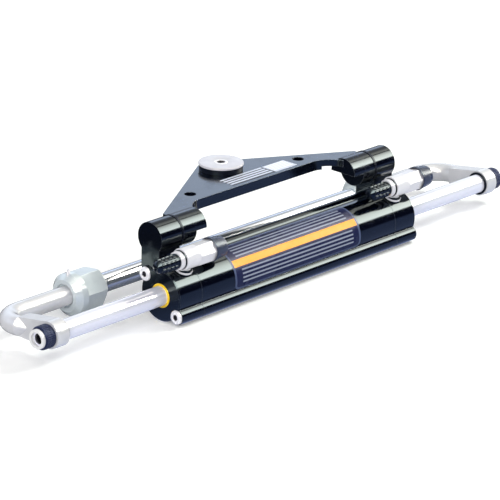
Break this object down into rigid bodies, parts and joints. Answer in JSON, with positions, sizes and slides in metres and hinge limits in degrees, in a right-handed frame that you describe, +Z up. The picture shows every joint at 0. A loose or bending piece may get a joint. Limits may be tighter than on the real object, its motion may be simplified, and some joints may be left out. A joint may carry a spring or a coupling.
{
  "type": "hydraulic steering cylinder",
  "caption": "Outboard-engine hydraulic steering cylinder: sliding barrel on a through rod, with a support rod frame, adjusting nuts, bleed fittings and a pivot plate for the tiller.",
  "frame": {"origin": "on the support rod's axis, half way along it, where the rod passes through the engine's tilt tube", "axes": "+X along the piston rod and the support rod; +Y from the piston rod towards the support rod behind it; +Z up, out of the pivot plate's top"},
  "size_m": [0.646, 0.1343, 0.0968],
  "materials": {
    "black_aluminium": "glossy black coating",
    "bright_steel": "bright stainless",
    "plated_steel": "satin stainless",
    "plated_brass": "nickel plated",
    "chrome": "polished chrome",
    "piston_alloy": "machined",
    "bronze": "machined bronze",
    "yellow_seal": "matte yellow urethane",
    "black_rubber": "matte",
    "black_plastic": "satin",
    "dark_nut": "dark zinc finish",
    "pale_nylon": "pale nylon"
  },
  "bodies": {
    "barrel": {"cylinder_tube": "black_aluminium", "left_gland": "black_aluminium", "left_wiper_seal": "yellow_seal", "left_rod_bush": "bronze", "left_rod_seal": "black_rubber", "left_gland_oring": "black_rubber", "left_pivot_pin": "bright_steel", "left_lower_screw": "bright_steel", "left_upper_screw": "bright_steel", "left_port_seal": "black_rubber", "left_fitting_body": "plated_brass", "left_port_cap": "black_plastic", "right_gland": "black_aluminium", "right_wiper_seal": "yellow_seal", "right_rod_bush": "bronze", "right_rod_seal": "black_rubber", "right_gland_oring": "black_rubber", "right_pivot_pin": "bright_steel", "right_lower_screw": "bright_steel", "right_upper_screw": "bright_steel", "right_port_seal": "black_rubber", "right_fitting_body": "plated_brass", "right_port_cap": "black_plastic"},
    "rod": {"piston_rod": "chrome", "piston": "piston_alloy", "piston_seal": "black_rubber", "left_piston_clip": "plated_steel", "right_piston_clip": "plated_steel"},
    "support_frame": {"support_rod": "plated_steel", "left_arm": "plated_steel", "left_rod_washer": "black_plastic", "left_lock_nut": "dark_nut", "left_lock_ring": "pale_nylon", "right_arm": "plated_steel", "right_rod_washer": "black_plastic", "right_lock_nut": "dark_nut", "right_lock_ring": "pale_nylon"},
    "left_nut": {"left_adjusting_nut": "plated_steel", "left_grease_nipple": "plated_brass"},
    "right_nut": {"right_adjusting_nut": "plated_steel", "right_grease_nipple": "plated_brass"},
    "plate": {"pivot_plate": "black_aluminium", "tiller_bush": "black_plastic", "lower_tiller_bush": "black_plastic", "left_thrust_washer": "black_plastic", "left_pivot_bush": "bronze", "right_thrust_washer": "black_plastic", "right_pivot_bush": "bronze"},
    "tiller": {"tiller_bolt": "bright_steel", "tiller_washer": "bright_steel"},
    "left_bleeder": {"left_bleed_screw": "plated_brass", "left_bleed_cap": "black_rubber"},
    "right_bleeder": {"right_bleed_screw": "plated_brass", "right_bleed_cap": "black_rubber"}
  },
  "joints": [
    {"name": "rod_slide", "type": "slide", "parent": "barrel", "child": "rod", "axis": [1, 0, 0], "range_m": [-0.1016, 0.1016]},
    {"name": "frame_hinge", "type": "hinge", "parent": "rod", "child": "support_frame", "pos_m": [0, -0.0695, 0.00449], "axis": [1, 0, 0], "range_deg": [-60, 15]},
    {"name": "left_nut_turn", "type": "hinge", "parent": "support_frame", "child": "left_nut", "pos_m": [-0.2, 0, 0], "axis": [1, 0, 0], "continuous": true},
    {"name": "right_nut_turn", "type": "hinge", "parent": "support_frame", "child": "right_nut", "pos_m": [0.2, 0, 0], "axis": [1, 0, 0], "continuous": true},
    {"name": "plate_hinge", "type": "hinge", "parent": "barrel", "child": "plate", "pos_m": [0, -0.05251, 0.0555], "axis": [1, 0, 0], "range_deg": [-10, 60]},
    {"name": "tiller_turn", "type": "hinge", "parent": "plate", "child": "tiller", "pos_m": [0, 0.0135, 0.069], "axis": [0, 0, 1], "continuous": true},
    {"name": "left_bleeder_turn", "type": "hinge", "parent": "barrel", "child": "left_bleeder", "pos_m": [-0.1565, -0.08513, 0.04131], "axis": [1, 0, 0], "range_deg": [0, 360]},
    {"name": "right_bleeder_turn", "type": "hinge", "parent": "barrel", "child": "right_bleeder", "pos_m": [0.1375, -0.08513, 0.04131], "axis": [1, 0, 0], "range_deg": [0, 360]}
  ]
}
